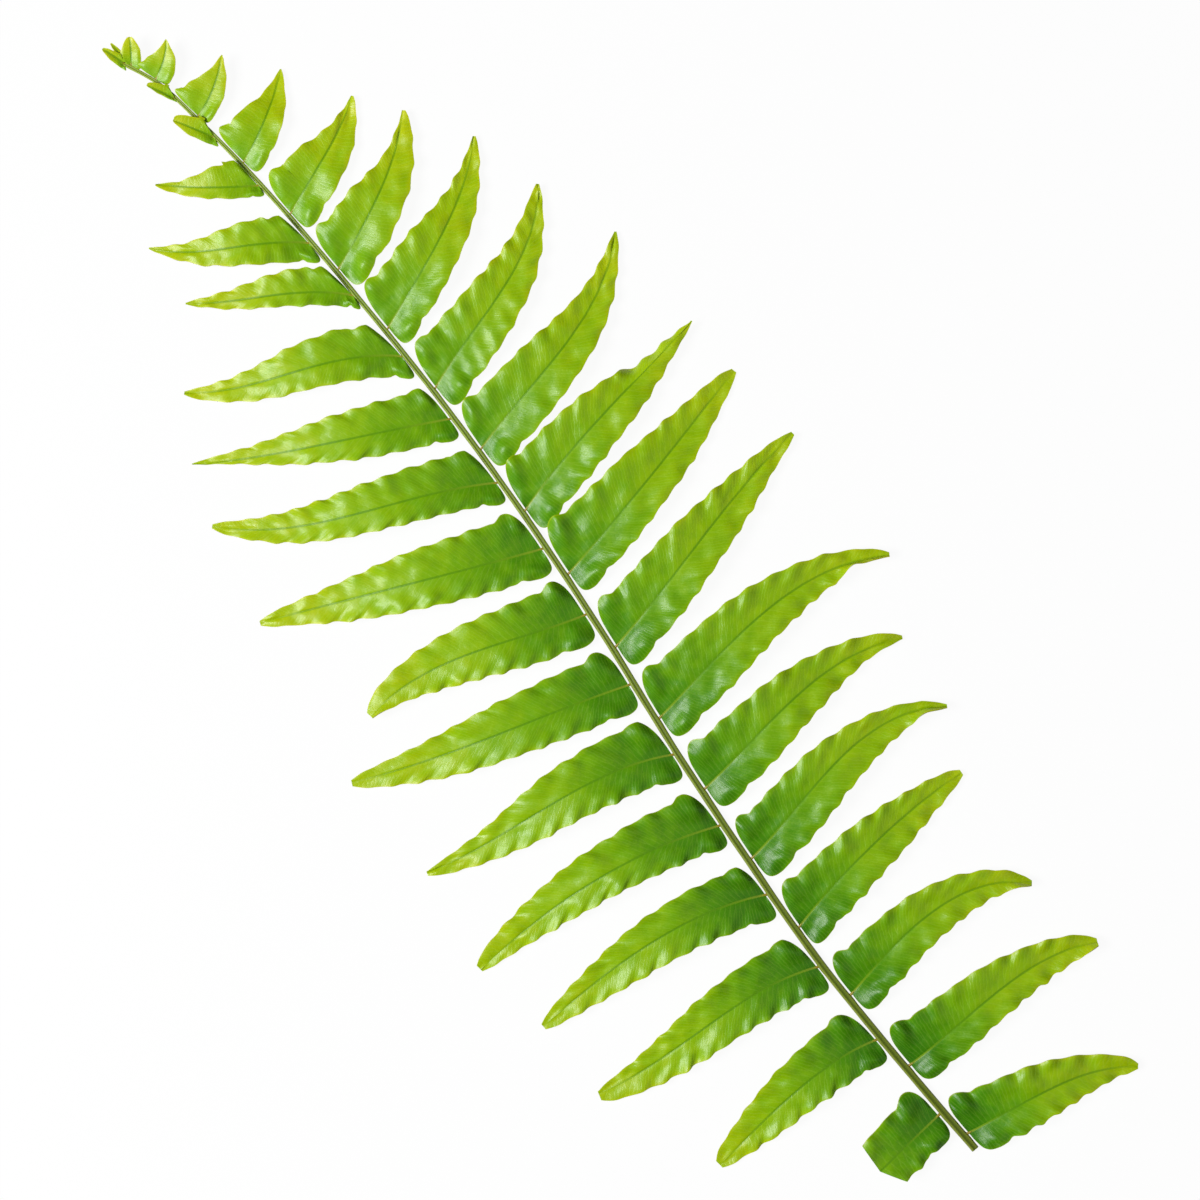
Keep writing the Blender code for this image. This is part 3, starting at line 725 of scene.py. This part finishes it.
# Its colour weakens to a share towards the leaflet's tip, between these parts of its length.
MIDRIB_FADE, FADE_FROM, FADE_TO = 0.3, 0.8, 1.0
# The pale rim of the margin and the paler under face.
RIM_AT, RIM_SHARE = 0.96, 0.45
UNDER_SHARE = 0.45
# Gloss of the upper and the under face: least and most roughness, and specular level.
GLOSS_NOISE = (0.3, 0.7)
TOP_GLOSS = (0.30, 0.40, 0.27)
UNDER_GLOSS = (0.50, 0.62, 0.22)
# Relief as strength and depth in metres: the veins, the grain and the blotches.
VEIN_RELIEF = (0.2, 0.00006)
GRAIN_RELIEF = (0.22, 0.00005)
BLOTCH_RELIEF = (0.32, 0.0004)


def leaf_material(name, under):
    """Glossy green over forked veins, paler and duller underneath."""
    n = Nodes(name)
    run, way = n.uv("veins")
    along, age = n.uv("place")
    aside = n.math("MULTIPLY_ADD", n.uv("ribs")[0], ASIDE_SPAN, -ASIDE_SPAN / 2)
    off = n.math("ABSOLUTE", aside)
    # From 0 at the midrib to 1 at the margin.
    out = n.math("ABSOLUTE", n.math("MULTIPLY_ADD", way, 2.0, -1.0))

    wander = n.centred(n.noise(VEIN_NOISE, 1.0), VEIN_WANDER / 2)
    run = n.math("ADD", n.math("MULTIPLY", run, RUN_SPAN), wander)
    cell = n.math("SUBTRACT", n.math("FRACT", n.math("DIVIDE", run, VEIN_STEP)), 0.5)
    cell = n.math("ABSOLUTE", cell)
    fork = n.ramp(out, FORK_FROM, FORK_TO, 0.0, FORK)
    vein = n.ramp(n.math("ABSOLUTE", n.math("SUBTRACT", cell, fork)), 0.0, VEIN_WIDTH, 1.0, 0.0)
    vein = n.math("MULTIPLY", vein, n.ramp(out, VEIN_GONE, VEIN_FULL))
    fade = n.ramp(along, FADE_FROM, FADE_TO, 1.0, MIDRIB_FADE)
    midrib = n.math("MULTIPLY", n.ramp(off, MIDRIB_INNER, MIDRIB_OUTER, 1.0, 0.0), fade)

    broad = n.noise(*BROAD[:2])
    blotch = n.noise(*BLOTCH[:2])
    grain = n.noise(*GRAIN[:2], roughness=GRAIN_ROUGHNESS)
    tone = n.math("MULTIPLY_ADD", n.math("POWER", along, ALONG_POWER), TONE_ALONG, TONE_START)
    tone = n.math("ADD", tone, n.math("MULTIPLY", n.math("POWER", age, AGE_POWER), TONE_AGE))
    middle = n.math("MULTIPLY_ADD", age, TONE_MIDDLE_AGE, TONE_MIDDLE)
    tone = n.math("ADD", tone, n.math("MULTIPLY", n.ramp(along, MIDDLE_FROM, MIDDLE_TO), middle))
    for noise, (_, _, shift) in ((broad, BROAD), (blotch, BLOTCH), (grain, GRAIN)):
        tone = n.math("ADD", tone, n.centred(noise, shift))
    tone = n.math("ADD", tone, n.ramp(out, RIM_FROM, 1.0, 0.0, TONE_RIM))

    colour = n.colours(tone, LEAF_GREENS)
    colour = n.mix(n.math("MULTIPLY", vein, VEIN_SHARE), colour, VEIN_GREEN)
    colour = n.mix(n.math("MULTIPLY", midrib, MIDRIB_SHARE), colour, n.colours(along, RIB_GREENS))
    colour = n.mix(n.ramp(out, RIM_AT, 1.0, 0.0, RIM_SHARE), colour, RIM_GREEN)
    if under:
        colour = n.mix(UNDER_SHARE, colour, UNDER_GREEN)
    n.feed(n.look.inputs["Base Color"], colour)

    smoothest, roughest, specular = UNDER_GLOSS if under else TOP_GLOSS
    n.feed(n.look.inputs["Roughness"], n.ramp(grain, *GLOSS_NOISE, smoothest, roughest, "LINEAR"))
    n.look.inputs["Specular IOR Level"].default_value = specular
    # Veins are sunk into the upper face and stand out of the under face.
    normal = n.bump(n.math("MULTIPLY", vein, 1.0 if under else -1.0), *VEIN_RELIEF)
    normal = n.bump(grain, *GRAIN_RELIEF, normal)
    normal = n.bump(blotch, *BLOTCH_RELIEF, normal)
    n.feed(n.look.inputs["Normal"], normal)
    return n.material


STEM_GREENS = ((0.0, (88, 104, 12)), (0.4, (104, 126, 18)), (0.75, (116, 144, 14)), (1.0, (142, 168, 28)))
# A painted highlight colour for the ridges beside the groove, and a painted shade colour for the groove
# itself.
RIDGE_HIGHLIGHT_GREEN = (146, 150, 70)
GROOVE_SHADE_GREEN = (60, 72, 10)
FLANK_GREEN = (128, 132, 40)
# The middle of the stem's groove as a share of the way round it. On each side of it, in the same shares,
# the groove's dark band of painted shade fades out, the ridges' light band of painted highlight fades in and
# out, and the flank's fades in.
GROOVE_WAY = 0.515
GROOVE_SHADE_BAND = (0.02, 0.09)
RIDGE_HIGHLIGHT_IN, RIDGE_HIGHLIGHT_OUT = (0.07, 0.11), (0.14, 0.20)
FLANK_BAND = (0.19, 0.26)
GROOVE_SHADE_SHARE, RIDGE_HIGHLIGHT_SHARE, FLANK_SHARE = 0.65, 0.35, 0.4
STREAKS = (900.0, 3.0)
STREAK_SHIFT = 0.15
STREAK_RELIEF = (0.3, 0.00008)


def stem_material():
    """Olive green, with painted shade darkening the groove along the top and painted highlights lightening
    the two ridges beside it.
    """
    n = Nodes("stem_olive")
    along, way = n.uv("place")
    off = n.math("ABSOLUTE", n.math("SUBTRACT", way, GROOVE_WAY))
    streak = n.noise(*STREAKS)
    colour = n.colours(n.math("ADD", along, n.centred(streak, STREAK_SHIFT)), STEM_GREENS)
    # A painted highlight along each ridge, then painted shade along the groove.
    ridge_highlight = n.math("MULTIPLY", n.ramp(off, *RIDGE_HIGHLIGHT_IN), n.ramp(off, *RIDGE_HIGHLIGHT_OUT, 1.0, 0.0))
    colour = n.mix(n.math("MULTIPLY", ridge_highlight, RIDGE_HIGHLIGHT_SHARE), colour, RIDGE_HIGHLIGHT_GREEN)
    colour = n.mix(n.ramp(off, *GROOVE_SHADE_BAND, GROOVE_SHADE_SHARE, 0.0), colour, GROOVE_SHADE_GREEN)
    colour = n.mix(n.ramp(off, *FLANK_BAND, 0.0, FLANK_SHARE), colour, FLANK_GREEN)
    n.feed(n.look.inputs["Base Color"], colour)
    n.look.inputs["Roughness"].default_value = 0.42
    n.look.inputs["Specular IOR Level"].default_value = 0.3
    n.feed(n.look.inputs["Normal"], n.bump(streak, *STREAK_RELIEF))
    return n.material


STALK_BROWNS = ((0.0, (112, 112, 20)), (0.35, (150, 116, 40)), (0.7, (146, 130, 40)), (1.0, (130, 140, 30)))


def stalk_material():
    """Brownish, greener towards the stem and the midrib."""
    n = Nodes("stalk_brown")
    n.feed(n.look.inputs["Base Color"], n.colours(n.uv("place")[0], STALK_BROWNS))
    n.look.inputs["Roughness"].default_value = 0.45
    n.feed(n.look.inputs["Normal"], n.bump(n.noise(1800.0), 0.3, 0.00005))
    return n.material


CUT_GREENS = ((0.3, (120, 124, 58)), (0.7, (168, 166, 98)))


def cut_material():
    """The pale, fibrous face at the cut end of the stem."""
    n = Nodes("cut_face")
    n.feed(n.look.inputs["Base Color"], n.colours(n.noise(2600.0, 3.0), CUT_GREENS))
    n.look.inputs["Roughness"].default_value = 0.7
    n.feed(n.look.inputs["Normal"], n.bump(n.noise(3000.0), 0.4, 0.0001))
    return n.material


# The light table under the frond and the lights over it: name, place, size in metres and power in watts.
FLOOR_SIZE = 6
FLOOR_GLOW = 0.94
FLOOR_GREYS = ((0.3, (55, 55, 55)), (0.7, (57, 57, 57)))
WHITE = (1, 1, 1, 1)
SKY = 0.06
LAMPS = (("key", (-0.57, 0.36, 0.78), 0.48, 15.8), ("fill", (0.5, -0.5, 0.9), 0.9, 1.2))


def floor_and_light():
    """A pale floor that shines a little, a faint sky and two soft lamps that face the frond."""
    bpy.ops.mesh.primitive_plane_add(size=FLOOR_SIZE, location=(0, 0, 0))
    floor = bpy.context.object
    floor.name = "floor"
    n = Nodes("pale_floor")
    n.feed(n.look.inputs["Base Color"], n.colours(n.noise(3.0), FLOOR_GREYS))
    n.look.inputs["Roughness"].default_value = 0.9
    n.look.inputs["Specular IOR Level"].default_value = 0.1
    n.look.inputs["Emission Color"].default_value = WHITE
    n.look.inputs["Emission Strength"].default_value = FLOOR_GLOW
    floor.data.materials.append(n.material)
    world = bpy.data.worlds.new("studio")
    world.use_nodes = True
    back = world.node_tree.nodes["Background"]
    back.inputs["Color"].default_value = WHITE
    back.inputs["Strength"].default_value = SKY
    bpy.context.scene.world = world
    for name, place, size, power in LAMPS:
        light = bpy.data.lights.new(name, "AREA")
        light.size = size
        light.energy = power
        lamp = bpy.data.objects.new(name, light)
        lamp.location = place
        flat = math.hypot(place[0], place[1])
        lamp.rotation_euler = (math.atan2(flat, place[2]), 0, math.atan2(place[1], place[0]) + math.pi / 2)
        bpy.context.scene.collection.objects.link(lamp)


# The camera looks straight down, turned so that the frond lies across the picture as in the photo.
EYE = (0.00674, -0.00374, 0.570)
EYE_TURN = -38.2
LENS = 85
SENSOR = 36


def camera():
    lens = bpy.data.cameras.new("camera")
    lens.lens = LENS
    lens.sensor_width = SENSOR
    eye = bpy.data.objects.new("camera", lens)
    eye.location = EYE
    eye.rotation_euler = (0, 0, math.radians(EYE_TURN))
    bpy.context.scene.collection.objects.link(eye)
    bpy.context.scene.camera = eye


draw = random.Random(SEED)
leaflets = [Leaflet(row, draw) for row in LEAFLETS]
leaf_materials = [leaf_material("leaf_top", False), leaf_material("leaf_under", True)]
brown = stalk_material()
for one in leaflets:
    blade(one, leaf_materials)
    stalk(one, brown)
stem(leaflets, [stem_material(), cut_material()])
floor_and_light()
camera()
bpy.context.scene.view_settings.view_transform = "Standard"
